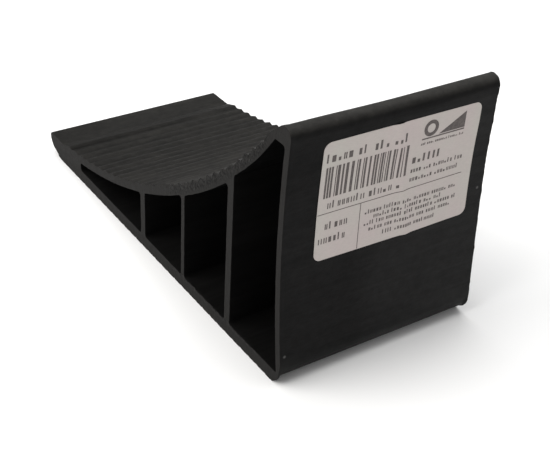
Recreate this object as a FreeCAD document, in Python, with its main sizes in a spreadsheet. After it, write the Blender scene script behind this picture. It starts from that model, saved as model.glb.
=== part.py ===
import FreeCAD, Part
import math
import os

import Sketcher
from FreeCAD import Vector

# Hollow plastic wheel chock with a paper label on its heel plate.
# Sketches use x = 0 at the heel, x < 0 towards the toe and z = 0 on the sole.
# Each body's Placement then centres the chock over its base.
# The cross-section runs in X and Z and has the same shape all along the chock's width, Y.

SIZES = [
    # alias, value in mm (degrees where the name ends in _angle), meaning
    ("chock_width", 76.0, "width of the length sawn from the extrusion"),
    ("middle_x", -84.575, "half way between the toe tip and the foot of the heel plate"),
    ("sole_start_x", -158.3, "where the flat sole begins behind the toe"),
    ("nose_radius", 5.2, "rounded front of the toe"),
    ("nose_corner_radius", 1.3, "tighter rounding along the toe's upper edge"),
    ("nose_corner_x", -167.5, "centre of that rounding"),
    ("nose_corner_z", 7.25, "centre of that rounding"),
    ("toe_land_x", -156.2, "end of the smooth land on the toe"),
    ("toe_land_z", 8.55, "height of the land there"),
    ("ramp_start_x", -150.2, "first tooth crest of the ramp"),
    ("ramp_radius", 209.0, "hollow of the ramp, on the tooth crests"),
    ("ramp_x", -172.2, "centre of the ramp's curve"),
    ("ramp_z", 218.4, "centre of the ramp's curve"),
    ("ramp_end_x", -13.0, "end of the curve, below the lip"),
    ("lip_radius", 3.2, "rounded lip at the top of the heel plate"),
    ("lip_z", 85.45, "centre of the lip"),
    ("plate_radius", 375.0, "slight hollow of the heel plate's outer face"),
    ("plate_x", 371.7, "centre of the plate's curve"),
    ("plate_z", 55.65, "centre of the plate's curve"),
    ("plate_inner_radius", 377.55, "inner face, a wall of 2.55 behind the outer one"),
    ("heel_radius", 8.2, "rounded edge between heel plate and sole"),
    ("toe_ceiling_radius", 212.8, "inner face of the ramp wall in the toe cell, same centre as the ramp"),
    ("low_ceiling_radius", 212.95, "the same in the second cell"),
    ("high_ceiling_radius", 213.4, "the same in the third cell"),
    ("heel_ceiling_radius", 125.3, "in the last cell the wall thins towards the lip, so its face has a tighter curve"),
    ("heel_ceiling_x", -112.3, "centre of that curve"),
    ("heel_ceiling_z", 154.65, "centre of that curve"),
    ("floor_z", 4.8, "thickness of the sole wall"),
    ("cell_corner_radius", 1.0, "fillets inside the cells"),
    ("toe_cell_left_x", -140.5, "cell under the toe"),
    ("toe_cell_right_x", -90.6, ""),
    ("low_cell_left_x", -87.4, "second cell"),
    ("low_cell_right_x", -61.5, ""),
    ("high_cell_left_x", -59.35, "third cell"),
    ("high_cell_right_x", -33.1, ""),
    ("heel_cell_left_x", -29.8, "cell behind the heel plate"),
    ("heel_cell_top_z", 82.65, ""),
    ("notch_x", -8.4, "middle of the sole notch nearest the heel"),
    ("notch_depth", 0.6, "depth of the sole notches"),
    ("notch_mouth_z", -0.1, "the cutter ends just below the sole"),
    ("rib_pitch", 4.8, "spacing of the sole ribs"),
    ("rib_radius", 3.75, "rounding of the rib flanks"),
    ("notch_count", 31, "sole notches"),
    ("tooth_start_angle", 6.51, "first tooth valley, from straight down"),
    ("tooth_pitch_angle", 1.494, "tooth spacing around the ramp's centre"),
    ("tooth_valley_radius", 209.85, "bottom of the tooth valleys"),
    ("tooth_mouth_radius", 208.65, "the cutter ends just above the crests"),
    ("tooth_steep_run", 2.05, "steep flank, facing the heel plate"),
    ("tooth_gentle_run", 4.9, "gentle flank, facing the toe"),
    ("tooth_count", 29, "tooth valleys"),
    ("label_length", 58.0, "paper label, along the width of the chock"),
    ("label_height", 40.0, ""),
    ("label_corner_radius", 2.5, ""),
    ("label_thickness", 0.15, "paper with its adhesive"),
    ("label_y", 2.58, "centre of the label"),
    ("label_z", 61.32, "centre of the label"),
    ("label_tilt_angle", -0.65, "the label is stuck on slightly crooked"),
]
VALUE = {alias: value for alias, value, meaning in SIZES}

doc = FreeCAD.newDocument("wheel_chock")
sheet = doc.addObject("Spreadsheet::Sheet", "dims")
for row, (alias, value, meaning) in enumerate(SIZES, start=1):
    sheet.set(f"A{row}", alias)
    sheet.set(f"B{row}", str(value))
    sheet.set(f"C{row}", meaning)
    sheet.setAlias(f"B{row}", alias)
doc.recompute()

START, END, CENTRE = 1, 2, 3
ORIGIN = (-1, 1)


def new_body(name):
    """A body of the chock, moved so that the chock is centred over the origin."""
    body = doc.addObject("PartDesign::Body", name)
    body.Label = name
    body.setExpression("Placement.Base.x", "-dims.middle_x")
    return body


def new_sketch(body, name, role, offset=None):
    """A sketch on one of the body's own origin planes; offset holds expressions for its own origin."""
    sketch = body.newObject("Sketcher::SketchObject", name)
    plane = [item for item in body.Origin.OriginFeatures if item.Role == role][0]
    sketch.AttachmentSupport = [(plane, "")]
    sketch.MapMode = "FlatFace"
    for key, formula in (offset or {}).items():
        sketch.setExpression(f"AttachmentOffset.{key}", formula)
    return sketch


def add_line(sketch, begin, end):
    return sketch.addGeometry(Part.LineSegment(Vector(*begin, 0), Vector(*end, 0)), False)


def add_arc(sketch, centre, radius, begin, end):
    """A counter-clockwise arc between the directions of two points seen from its centre."""
    first = math.atan2(begin[1] - centre[1], begin[0] - centre[0])
    last = math.atan2(end[1] - centre[1], end[0] - centre[0])
    circle = Part.Circle(Vector(*centre, 0), Vector(0, 0, 1), radius)
    return sketch.addGeometry(Part.ArcOfCircle(circle, first, last), False)


def join(sketch, first, first_end, second, second_end, kind="Coincident"):
    sketch.addConstraint(Sketcher.Constraint(kind, first, first_end, second, second_end))


def bind(sketch, formula, kind, *where):
    """Add a dimension and bind it to a formula on the sheet."""
    index = sketch.addConstraint(Sketcher.Constraint(kind, *where))
    sketch.setExpression(f"Constraints[{index}]", formula)


def place(sketch, item, point, x_formula, z_formula):
    """Fix a point by its two coordinates; a None leaves that coordinate free."""
    position = sketch.getPoint(item, point)
    if x_formula:
        bind(sketch, x_formula, "DistanceX", *ORIGIN, item, point, position.x)
    if z_formula:
        bind(sketch, z_formula, "DistanceY", *ORIGIN, item, point, position.y)


def set_radius(sketch, item, formula):
    bind(sketch, formula, "Radius", item, sketch.Geometry[item].Radius)


def on_circle(centre, radius, x):
    """Lower point of a circle at a given x."""
    return (x, centre[1] - math.sqrt(radius**2 - (x - centre[0]) ** 2))


def on_plate(radius, z):
    """Point of one of the heel plate's two faces at a given height."""
    return (VALUE["plate_x"] - math.sqrt(radius**2 - (z - VALUE["plate_z"]) ** 2), z)


RAMP_CENTRE = (VALUE["ramp_x"], VALUE["ramp_z"])
PLATE_CENTRE = (VALUE["plate_x"], VALUE["plate_z"])


def draw_section(sketch):
    """Outline of the chock: sole, heel rounding, plate, lip, brow, ramp, land, toe and its underside."""
    heel = VALUE["heel_radius"]
    lip = VALUE["lip_radius"]
    nose = VALUE["nose_radius"]
    corner = VALUE["nose_corner_radius"]
    corner_centre = (VALUE["nose_corner_x"], VALUE["nose_corner_z"])
    corner_top = (corner_centre[0], corner_centre[1] + corner)
    nose_front = (corner_centre[0] - corner, corner_centre[1])
    nose_centre = (nose_front[0] + nose, nose_front[1])
    nose_foot = (nose_centre[0] - 0.2 * nose, nose_centre[1] - 0.98 * nose)
    sole_start = (VALUE["sole_start_x"], 0)
    sole_end = (-heel, 0)
    plate_foot = on_plate(VALUE["plate_radius"], heel)
    plate_top = on_plate(VALUE["plate_radius"], VALUE["lip_z"])
    lip_centre = (plate_top[0] - lip, plate_top[1])
    lip_start = (lip_centre[0] - lip * 0.6, lip_centre[1] + lip * 0.8)
    ramp_end = on_circle(RAMP_CENTRE, VALUE["ramp_radius"], VALUE["ramp_end_x"])
    ramp_start = on_circle(RAMP_CENTRE, VALUE["ramp_radius"], VALUE["ramp_start_x"])
    land_end = (VALUE["toe_land_x"], VALUE["toe_land_z"])

    sole = add_line(sketch, sole_start, sole_end)
    heel_round = add_arc(sketch, (-heel, heel), heel, sole_end, plate_foot)
    plate = add_arc(sketch, PLATE_CENTRE, VALUE["plate_radius"], plate_top, plate_foot)
    lip_round = add_arc(sketch, lip_centre, lip, plate_top, lip_start)
    brow = add_line(sketch, lip_start, ramp_end)
    ramp = add_arc(sketch, RAMP_CENTRE, VALUE["ramp_radius"], ramp_start, ramp_end)
    first_rise = add_line(sketch, ramp_start, land_end)
    land = add_line(sketch, land_end, corner_top)
    nose_corner = add_arc(sketch, corner_centre, corner, corner_top, nose_front)
    nose_round = add_arc(sketch, nose_centre, nose, nose_front, nose_foot)
    underside = add_line(sketch, nose_foot, sole_start)

    join(sketch, sole, END, heel_round, START, "Tangent")
    join(sketch, heel_round, END, plate, END, "Tangent")
    join(sketch, plate, START, lip_round, START, "Tangent")
    join(sketch, lip_round, END, brow, START, "Tangent")
    join(sketch, brow, END, ramp, END)
    join(sketch, ramp, START, first_rise, START)
    join(sketch, first_rise, END, land, START)
    join(sketch, land, END, nose_corner, START, "Tangent")
    join(sketch, nose_corner, END, nose_round, START, "Tangent")
    join(sketch, nose_round, END, underside, START, "Tangent")
    join(sketch, underside, END, sole, START)
    sketch.addConstraint(Sketcher.Constraint("Horizontal", sole))
    sketch.addConstraint(Sketcher.Constraint("PointOnObject", sole, START, -1))

    place(sketch, sole, START, "dims.sole_start_x", None)
    place(sketch, plate, CENTRE, "dims.plate_x", "dims.plate_z")
    place(sketch, ramp, CENTRE, "dims.ramp_x", "dims.ramp_z")
    place(sketch, nose_corner, CENTRE, "dims.nose_corner_x", "dims.nose_corner_z")
    place(sketch, nose_round, CENTRE, None, "dims.nose_corner_z")
    place(sketch, lip_round, CENTRE, None, "dims.lip_z")
    place(sketch, ramp, END, "dims.ramp_end_x", None)
    place(sketch, ramp, START, "dims.ramp_start_x", None)
    place(sketch, land, START, "dims.toe_land_x", "dims.toe_land_z")
    for item, formula in (
        (heel_round, "dims.heel_radius"),
        (plate, "dims.plate_radius"),
        (lip_round, "dims.lip_radius"),
        (ramp, "dims.ramp_radius"),
        (nose_corner, "dims.nose_corner_radius"),
        (nose_round, "dims.nose_radius"),
    ):
        set_radius(sketch, item, formula)


def draw_cell(sketch, left_alias, right_alias, radius_alias):
    """A cell between two upright walls, with the curved underside of the ramp as its ceiling."""
    left_x, right_x = VALUE[left_alias], VALUE[right_alias]
    radius = VALUE[radius_alias]
    top_left = on_circle(RAMP_CENTRE, radius, left_x)
    top_right = on_circle(RAMP_CENTRE, radius, right_x)
    floor = add_line(sketch, (left_x, VALUE["floor_z"]), (right_x, VALUE["floor_z"]))
    right = add_line(sketch, (right_x, VALUE["floor_z"]), top_right)
    ceiling = add_arc(sketch, RAMP_CENTRE, radius, top_left, top_right)
    left = add_line(sketch, top_left, (left_x, VALUE["floor_z"]))
    join(sketch, floor, END, right, START)
    join(sketch, right, END, ceiling, END)
    join(sketch, ceiling, START, left, START)
    join(sketch, left, END, floor, START)
    sketch.addConstraint(Sketcher.Constraint("Horizontal", floor))
    sketch.addConstraint(Sketcher.Constraint("Vertical", right))
    sketch.addConstraint(Sketcher.Constraint("Vertical", left))
    place(sketch, ceiling, CENTRE, "dims.ramp_x", "dims.ramp_z")
    set_radius(sketch, ceiling, f"dims.{radius_alias}")
    place(sketch, floor, START, f"dims.{left_alias}", "dims.floor_z")
    place(sketch, floor, END, f"dims.{right_alias}", None)


def draw_heel_cell(sketch):
    """The tallest cell: the bowed heel plate is its right wall and a short flat closes it under the lip."""
    left_x, top_z, floor_z = VALUE["heel_cell_left_x"], VALUE["heel_cell_top_z"], VALUE["floor_z"]
    radius, inner = VALUE["heel_ceiling_radius"], VALUE["plate_inner_radius"]
    centre = (VALUE["heel_ceiling_x"], VALUE["heel_ceiling_z"])
    top_left = on_circle(centre, radius, left_x)
    peak_x = centre[0] + math.sqrt(radius**2 - (centre[1] - top_z) ** 2)
    floor = add_line(sketch, (left_x, floor_z), on_plate(inner, floor_z))
    right = add_arc(sketch, PLATE_CENTRE, inner, on_plate(inner, top_z), on_plate(inner, floor_z))
    top = add_line(sketch, on_plate(inner, top_z), (peak_x, top_z))
    ceiling = add_arc(sketch, centre, radius, top_left, (peak_x, top_z))
    left = add_line(sketch, top_left, (left_x, floor_z))
    join(sketch, floor, END, right, END)
    join(sketch, right, START, top, START)
    join(sketch, top, END, ceiling, END)
    join(sketch, ceiling, START, left, START)
    join(sketch, left, END, floor, START)
    sketch.addConstraint(Sketcher.Constraint("Horizontal", floor))
    sketch.addConstraint(Sketcher.Constraint("Horizontal", top))
    sketch.addConstraint(Sketcher.Constraint("Vertical", left))
    place(sketch, ceiling, CENTRE, "dims.heel_ceiling_x", "dims.heel_ceiling_z")
    place(sketch, right, CENTRE, "dims.plate_x", "dims.plate_z")
    set_radius(sketch, ceiling, "dims.heel_ceiling_radius")
    set_radius(sketch, right, "dims.plate_inner_radius")
    place(sketch, floor, START, "dims.heel_cell_left_x", "dims.floor_z")
    place(sketch, top, START, None, "dims.heel_cell_top_z")


def draw_notch(sketch):
    """A sharp notch between two rounded sole ribs. The sketch's own origin is under its apex."""
    half = VALUE["rib_pitch"] / 2
    radius = VALUE["rib_radius"]
    mouth_z = VALUE["notch_mouth_z"]
    centre_z = VALUE["notch_depth"] + math.sqrt(radius**2 - half**2)
    mouth_x = half - math.sqrt(radius**2 - (centre_z - mouth_z) ** 2)
    apex = (0, VALUE["notch_depth"])
    right = add_arc(sketch, (half, centre_z), radius, apex, (mouth_x, mouth_z))
    left = add_arc(sketch, (-half, centre_z), radius, (-mouth_x, mouth_z), apex)
    mouth = add_line(sketch, (-mouth_x, mouth_z), (mouth_x, mouth_z))
    join(sketch, right, START, left, END)
    join(sketch, right, END, mouth, END)
    join(sketch, left, START, mouth, START)
    sketch.addConstraint(Sketcher.Constraint("PointOnObject", right, START, -2))
    sketch.addConstraint(Sketcher.Constraint("Horizontal", mouth))
    place(sketch, right, START, None, "dims.notch_depth")
    place(sketch, right, CENTRE, "dims.rib_pitch / 2", None)
    place(sketch, left, CENTRE, "-dims.rib_pitch / 2", None)
    place(sketch, mouth, START, None, "dims.notch_mouth_z")
    set_radius(sketch, right, "dims.rib_radius")
    set_radius(sketch, left, "dims.rib_radius")


def draw_tooth_valley(sketch):
    """A saw-tooth valley. The sketch's own origin is the ramp's centre, with the valley straight below."""
    valley = (0, -VALUE["tooth_valley_radius"])
    mouth_left = (-VALUE["tooth_steep_run"], -VALUE["tooth_mouth_radius"])
    mouth_right = (VALUE["tooth_gentle_run"], -VALUE["tooth_mouth_radius"])
    gentle = add_line(sketch, valley, mouth_right)
    mouth = add_line(sketch, mouth_right, mouth_left)
    steep = add_line(sketch, mouth_left, valley)
    join(sketch, gentle, END, mouth, START)
    join(sketch, mouth, END, steep, START)
    join(sketch, steep, END, gentle, START)
    sketch.addConstraint(Sketcher.Constraint("PointOnObject", gentle, START, -2))
    sketch.addConstraint(Sketcher.Constraint("Horizontal", mouth))
    place(sketch, gentle, START, None, "-dims.tooth_valley_radius")
    place(sketch, mouth, START, "dims.tooth_gentle_run", "-dims.tooth_mouth_radius")
    place(sketch, mouth, END, "-dims.tooth_steep_run", None)


def draw_rounded_rectangle(sketch):
    """Outline of the label, about the sketch's own origin."""
    half_x, half_z = VALUE["label_length"] / 2, VALUE["label_height"] / 2
    radius = VALUE["label_corner_radius"]
    centre_x, centre_z = half_x - radius, half_z - radius
    foot = add_line(sketch, (-centre_x, -half_z), (centre_x, -half_z))
    right = add_line(sketch, (half_x, -centre_z), (half_x, centre_z))
    top = add_line(sketch, (centre_x, half_z), (-centre_x, half_z))
    left = add_line(sketch, (-half_x, centre_z), (-half_x, -centre_z))
    corners = [
        add_arc(sketch, (centre_x, -centre_z), radius, (centre_x, -half_z), (half_x, -centre_z)),
        add_arc(sketch, (centre_x, centre_z), radius, (half_x, centre_z), (centre_x, half_z)),
        add_arc(sketch, (-centre_x, centre_z), radius, (-centre_x, half_z), (-half_x, centre_z)),
        add_arc(sketch, (-centre_x, -centre_z), radius, (-half_x, -centre_z), (-centre_x, -half_z)),
    ]
    sides = [foot, right, top, left, foot]
    for corner, side, following in zip(corners, sides, sides[1:]):
        join(sketch, side, END, corner, START, "Tangent")
        join(sketch, corner, END, following, START, "Tangent")
        set_radius(sketch, corner, "dims.label_corner_radius")
    for kind, side in (("Horizontal", foot), ("Vertical", right), ("Horizontal", top), ("Vertical", left)):
        sketch.addConstraint(Sketcher.Constraint(kind, side))
    place(sketch, foot, START, None, "-dims.label_height / 2")
    place(sketch, top, START, None, "dims.label_height / 2")
    place(sketch, right, START, "dims.label_length / 2", None)
    place(sketch, left, START, "-dims.label_length / 2", None)


def draw_label_trim(sketch, radius_formula, radius, side_x):
    """Side view of the waste on one side of the paper: a block that ends on the curve of the plate."""
    low_z, high_z = 30.0, 95.0
    curve = add_arc(sketch, PLATE_CENTRE, radius, on_plate(radius, high_z), on_plate(radius, low_z))
    top = add_line(sketch, on_plate(radius, high_z), (side_x, high_z))
    side = add_line(sketch, (side_x, high_z), (side_x, low_z))
    foot = add_line(sketch, (side_x, low_z), on_plate(radius, low_z))
    join(sketch, curve, START, top, START)
    join(sketch, top, END, side, START)
    join(sketch, side, END, foot, START)
    join(sketch, foot, END, curve, END)
    sketch.addConstraint(Sketcher.Constraint("Horizontal", top))
    sketch.addConstraint(Sketcher.Constraint("Vertical", side))
    sketch.addConstraint(Sketcher.Constraint("Horizontal", foot))
    place(sketch, curve, CENTRE, "dims.plate_x", "dims.plate_z")
    set_radius(sketch, curve, radius_formula)
    place(sketch, side, START, str(side_x), str(high_z))
    place(sketch, side, END, None, str(low_z))


def cut(body, name, sketch, formula="dims.chock_width * 2"):
    """Cut a sketch through the body on both sides of its plane."""
    pocket = body.newObject("PartDesign::Pocket", name)
    pocket.Profile = sketch
    pocket.SideType = "Symmetric"
    pocket.setExpression("Length", formula)
    doc.recompute()
    return pocket


def pad(body, name, sketch, formula):
    solid = body.newObject("PartDesign::Pad", name)
    solid.Profile = sketch
    solid.SideType = "Symmetric"
    solid.setExpression("Length", formula)
    doc.recompute()
    return solid


def cell_corner_edges(shape):
    """Names of the straight edges along Y that lie inside the chock, clear of its outer surface."""
    names = []
    for number, edge in enumerate(shape.Edges, start=1):
        middle = edge.BoundBox.Center
        along_y = edge.BoundBox.YLength > VALUE["chock_width"] - 1
        above_sole = middle.z > VALUE["floor_z"] - 0.5
        between_walls = VALUE["toe_cell_left_x"] - 0.5 < middle.x < -3.0
        distance = math.hypot(middle.x - RAMP_CENTRE[0], middle.z - RAMP_CENTRE[1])
        under_ramp = distance > VALUE["ramp_radius"] + 1.3
        if along_y and above_sole and between_walls and under_ramp:
            names.append(f"Edge{number}")
    return names


# Chock body: the outline padded, four cells cut through it, their corners filleted,
# then the sole notches and the ramp's teeth.
chock = new_body("chock_body")
section = new_sketch(chock, "section", "XZ_Plane")
draw_section(section)
blank = pad(chock, "blank", section, "dims.chock_width")

cells = new_sketch(chock, "cells", "XZ_Plane")
draw_cell(cells, "toe_cell_left_x", "toe_cell_right_x", "toe_ceiling_radius")
draw_cell(cells, "low_cell_left_x", "low_cell_right_x", "low_ceiling_radius")
draw_cell(cells, "high_cell_left_x", "high_cell_right_x", "high_ceiling_radius")
draw_heel_cell(cells)
hollow = cut(chock, "hollow", cells)

corners = chock.newObject("PartDesign::Fillet", "cell_corners")
corners.Base = (hollow, cell_corner_edges(hollow.Shape))
corners.setExpression("Radius", "dims.cell_corner_radius")
chock.Tip = corners
doc.recompute()

notch = new_sketch(chock, "notch", "XZ_Plane", {"Base.x": "dims.notch_x"})
draw_notch(notch)
first_notch = cut(chock, "first_notch", notch)
sole_notches = chock.newObject("PartDesign::LinearPattern", "sole_notches")
sole_notches.Originals = [first_notch]
sole_notches.Direction = (notch, ["H_Axis"])
sole_notches.Reversed = True
sole_notches.Mode = "Spacing"
sole_notches.setExpression("Offset", "dims.rib_pitch")
sole_notches.setExpression("Occurrences", "dims.notch_count")
chock.Tip = sole_notches
doc.recompute()

tooth = new_sketch(
    chock,
    "tooth_valley",
    "XZ_Plane",
    {"Base.x": "dims.ramp_x", "Base.y": "dims.ramp_z", "Rotation.Angle": "dims.tooth_start_angle"},
)
draw_tooth_valley(tooth)
first_tooth = cut(chock, "first_tooth_valley", tooth)
ramp_teeth = chock.newObject("PartDesign::PolarPattern", "ramp_teeth")
ramp_teeth.Originals = [first_tooth]
ramp_teeth.Axis = (tooth, ["N_Axis"])
ramp_teeth.Mode = "Spacing"
ramp_teeth.setExpression("Offset", "dims.tooth_pitch_angle")
ramp_teeth.setExpression("Occurrences", "dims.tooth_count")
chock.Tip = ramp_teeth
doc.recompute()

# Label: a rounded rectangle padded through the heel plate, then trimmed to the paper's
# thickness against the plate's bowed outer face.
label = new_body("label")
outline = new_sketch(
    label,
    "label_outline",
    "YZ_Plane",
    {"Base.x": "dims.label_y", "Base.y": "dims.label_z", "Rotation.Angle": "dims.label_tilt_angle"},
)
draw_rounded_rectangle(outline)
pad(label, "label_block", outline, "20")
trim = new_sketch(label, "label_trim", "XZ_Plane")
paper_radius = VALUE["plate_radius"] - VALUE["label_thickness"]
draw_label_trim(trim, "dims.plate_radius", VALUE["plate_radius"], -12.0)
draw_label_trim(trim, "dims.plate_radius - dims.label_thickness", paper_radius, 12.0)
label.Tip = cut(label, "label_sheet", trim)
doc.recompute()

# Check everything before any file is written.
for item in doc.Objects:
    if "Invalid" in item.State or "Error" in item.State:
        raise RuntimeError(f"{item.Name} failed to recompute")
volumes = [step.Shape.Volume for step in (blank, hollow, sole_notches, ramp_teeth)]
if not all(before > after + 100 for before, after in zip(volumes, volumes[1:])):
    raise RuntimeError("a cut removed nothing")
for body in (chock, label):
    if body.Shape.isNull() or not body.Shape.isValid() or len(body.Shape.Solids) != 1:
        raise RuntimeError(f"{body.Label} is not one valid solid")

os.makedirs("parts", exist_ok=True)
for body in (chock, label):
    body.Shape.exportStep(f"parts/{body.Label}.step")
    box = body.Shape.BoundBox
    print(body.Label, "volume", round(body.Shape.Volume, 1), "mm3, box", box)
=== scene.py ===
"""Looks of a hollow plastic wheel chock: a sawn length of black extrusion with a creased paper label."""
import math
import random

import bpy
import numpy as np
from mathutils import Matrix, Vector, noise
from mathutils.geometry import delaunay_2d_cdt


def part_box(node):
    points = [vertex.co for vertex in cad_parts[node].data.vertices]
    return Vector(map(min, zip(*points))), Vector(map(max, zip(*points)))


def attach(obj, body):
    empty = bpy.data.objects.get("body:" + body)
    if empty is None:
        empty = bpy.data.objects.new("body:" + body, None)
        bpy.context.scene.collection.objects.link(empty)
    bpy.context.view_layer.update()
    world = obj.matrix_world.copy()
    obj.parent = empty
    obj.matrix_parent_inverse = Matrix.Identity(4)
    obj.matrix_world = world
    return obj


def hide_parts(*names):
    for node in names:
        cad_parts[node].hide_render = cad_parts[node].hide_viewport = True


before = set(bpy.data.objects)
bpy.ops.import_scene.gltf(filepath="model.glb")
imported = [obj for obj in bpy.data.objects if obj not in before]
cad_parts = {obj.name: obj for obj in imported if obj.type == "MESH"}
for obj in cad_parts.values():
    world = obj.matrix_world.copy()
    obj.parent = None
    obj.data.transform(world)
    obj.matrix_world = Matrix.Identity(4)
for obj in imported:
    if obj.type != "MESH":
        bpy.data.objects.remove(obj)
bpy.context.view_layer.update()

MM = 0.001
SEED = 7

BODY_LOW, BODY_HIGH = [np.array(corner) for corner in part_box("chock_body")]
LABEL_LOW, LABEL_HIGH = [np.array(corner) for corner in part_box("label")]


# ---------------------------------------------------------------- outlines read from the frame

def end_outlines(node):
    """Closed outlines (x, z) of a CAD node's front end face. The plastic is on the left of each."""
    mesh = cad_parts[node].data
    front = min(vertex.co.y for vertex in mesh.vertices)
    edges = set()
    for polygon in mesh.polygons:
        corners = [mesh.vertices[index].co for index in polygon.vertices]
        if all(abs(corner.y - front) < 1e-6 for corner in corners):
            keys = [(round(corner.x, 7), round(corner.z, 7)) for corner in corners]
            edges.update(zip(keys, keys[1:] + keys[:1]))
    following = {a: b for a, b in sorted(edges) if (b, a) not in edges}
    outlines = []
    while following:
        start = min(following)
        outline = [start]
        point = following.pop(start)
        while point != start:
            outline.append(point)
            point = following.pop(point)
        outlines.append(np.array(outline))
    return outlines


def blurred(points, length, softness):
    """A closed, evenly spaced outline smoothed by a bell curve of the given softness."""
    frequency = np.fft.fftfreq(len(points), length / len(points))
    kernel = np.exp(-2 * (np.pi * frequency * softness) ** 2)[:, None]
    return np.fft.ifft(np.fft.fft(points, axis=0) * kernel, axis=0).real


def headings(points):
    """Direction of travel along a closed outline at each of its points."""
    ahead = np.roll(points, -1, axis=0) - np.roll(points, 1, axis=0)
    return np.unwrap(np.arctan2(ahead[:, 1], ahead[:, 0]))


FINE_STEP = 0.15 * MM  # spacing of an outline's points before most are dropped
CORNER_SOFTNESS = 0.16 * MM
BROAD_SOFTNESS = 4 * MM  # wide enough to level the teeth
LONGEST_STEP = 1 * MM
SHARPEST_TURN = math.radians(9)
FULL_BEND = 0.6 * MM  # an outline bent this tightly counts as fully convex


def softened(outline):
    """Resample a closed outline, round its corners a little, and drop points where it hardly bends.

    Returns the points, their outward normals, the normals of the outline's broad run, and how
    convex the outline is at each point, from -1 to 1.
    """
    closed = np.vstack([outline, outline[:1]])
    lengths = np.linalg.norm(np.diff(closed, axis=0), axis=1)
    along = np.concatenate([[0], np.cumsum(lengths)])
    count = int(along[-1] / FINE_STEP)
    places = np.arange(count) * along[-1] / count
    fine = np.column_stack([np.interp(places, along, closed[:, axis]) for axis in (0, 1)])
    smooth = blurred(fine, along[-1], CORNER_SOFTNESS)
    heading = headings(smooth)
    broad = headings(blurred(fine, along[-1], BROAD_SOFTNESS))
    bend = np.gradient(heading) / (along[-1] / count)
    kept = [0]
    for index in range(1, count):
        turned = abs(heading[index] - heading[kept[-1]])
        if turned > SHARPEST_TURN or (index - kept[-1]) * FINE_STEP > LONGEST_STEP:
            kept.append(index)
    normals = np.column_stack([np.sin(heading), -np.cos(heading)])
    broad_normals = np.column_stack([np.sin(broad), -np.cos(broad)])
    convex = np.clip(bend * FULL_BEND, -1, 1)
    return smooth[kept], normals[kept], broad_normals[kept], convex[kept]


def inside(points, outlines):
    """Whether each (x, z) point lies in the plastic, by the even-odd rule."""
    crossings = np.zeros(len(points), int)
    for outline in outlines:
        following = np.roll(outline, -1, axis=0)
        for (x0, z0), (x1, z1) in zip(outline, following):
            if z0 == z1:
                continue
            spans = (z0 > points[:, 1]) != (z1 > points[:, 1])
            meets = x0 + (points[:, 1] - z0) * (x1 - x0) / (z1 - z0)
            crossings += spans & (points[:, 0] < meets)
    return crossings % 2 == 1


def ripple(x, y, z, seed):
    """Smooth noise between about -1 and 1; the arguments are in metres over a feature size."""
    return noise.noise(Vector((x + seed, y - seed, z + 2 * seed)))


def cut_ripple(x, z, size, variant, seed):
    """Noise that differs between the two cuts by the variant; the feature size is in millimetres."""
    return ripple(x / (size * MM), variant, z / (size * MM), seed)


# ---------------------------------------------------------------- the sawn extrusion

# Sections next to a cut, as (mm in from the cut, mm that the rim is rounded off there).
RIM = [(0.0, 0.09), (0.06, 0.03), (0.16, 0.01), (0.5, 0.0), (1.1, 0.0), (2.2, 0.0)]
SECTION_GAP = 3.0 * MM
SKIN, SAWN, CELL_WALL = 0, 1, 2  # material slots of the moulding
SAW_ALLOWANCE = 0.08 * MM  # room for the rough cut inside the CAD model's box
RAMP_MIDDLE = (BODY_LOW[0] - 3.4 * MM, 218.4 * MM)  # centre of the ramp's curve, (x, z)
RAMP_RADIUS = 209 * MM
TOE_CORNER = BODY_LOW[0] + 12.6 * MM  # where the smooth land on the toe meets the rise to the first tooth
FIRST_VALLEY = BODY_LOW[0] + 20.4 * MM
RAMP_TOP = 70 * MM  # the heel plate and its lip lie beyond this x
WIDTH = BODY_HIGH[1] - BODY_LOW[1]


def sections():
    """Places along the width as (y, rounding, side), where side is -1 or 1 near a cut and 0 between."""
    low, high = BODY_LOW[1] + SAW_ALLOWANCE, BODY_HIGH[1] - SAW_ALLOWANCE
    rim = [(distance * MM, rounding * MM) for distance, rounding in RIM]
    front = [(low + distance, rounding, -1) for distance, rounding in rim]
    back = [(high - distance, rounding, 1) for distance, rounding in reversed(rim)]
    start, stop = front[-1][0], back[0][0]
    count = round((stop - start) / SECTION_GAP)
    middle = [(start + (stop - start) * k / count, 0.0, 0) for k in range(1, count)]
    return front + middle + back


def saw_wander(x, z, side):
    """How far the saw strayed from a flat cut: a slow drift and the ridges that the teeth left."""
    drift = 0.05 * MM * cut_ripple(x, z, 30, side, 3.1)
    ridges = 0.02 * MM * ripple(x / 0.0016, 2 * side, z / 0.012, 8.7)
    return drift + ridges


def skin_wave(x, y, z):
    """Uneven skin of the extrusion: long in the direction it was drawn, Y, and short across it."""
    broad = 0.04 * MM * ripple(x / 0.014, y / 0.060, z / 0.014, 1.7)
    narrow = 0.012 * MM * ripple(x / 0.0035, y / 0.030, z / 0.0035, 5.3)
    return broad + narrow


def eased(value):
    """Smooth step from 0 to 1."""
    value = min(1.0, max(0.0, value))
    return value * value * (3 - 2 * value)


def rise(place, start, length):
    """0 up to the start, then a smooth step to 1. The place is in metres, the rest in millimetres."""
    return eased((place - start * MM) / (length * MM))


def fall(place, end, length):
    """1 until a length before the end, then a smooth step to 0. Units as in rise."""
    return eased((end * MM - place) / (length * MM))


def blend(first, second, share):
    """The value that lies the given share of the way from the first to the second."""
    return first + (second - first) * share


def lip_sag(y, z):
    """How far the lip dips behind the sawn front end, most of it from the middle to the back."""
    at_front, further_back = 0.27 * MM, 0.70 * MM
    from_front = y - BODY_LOW[1]
    sag = at_front * rise(from_front, 0, 3) + further_back * rise(from_front, 2, 40)
    return rise(z, 62, 20) * sag


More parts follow.
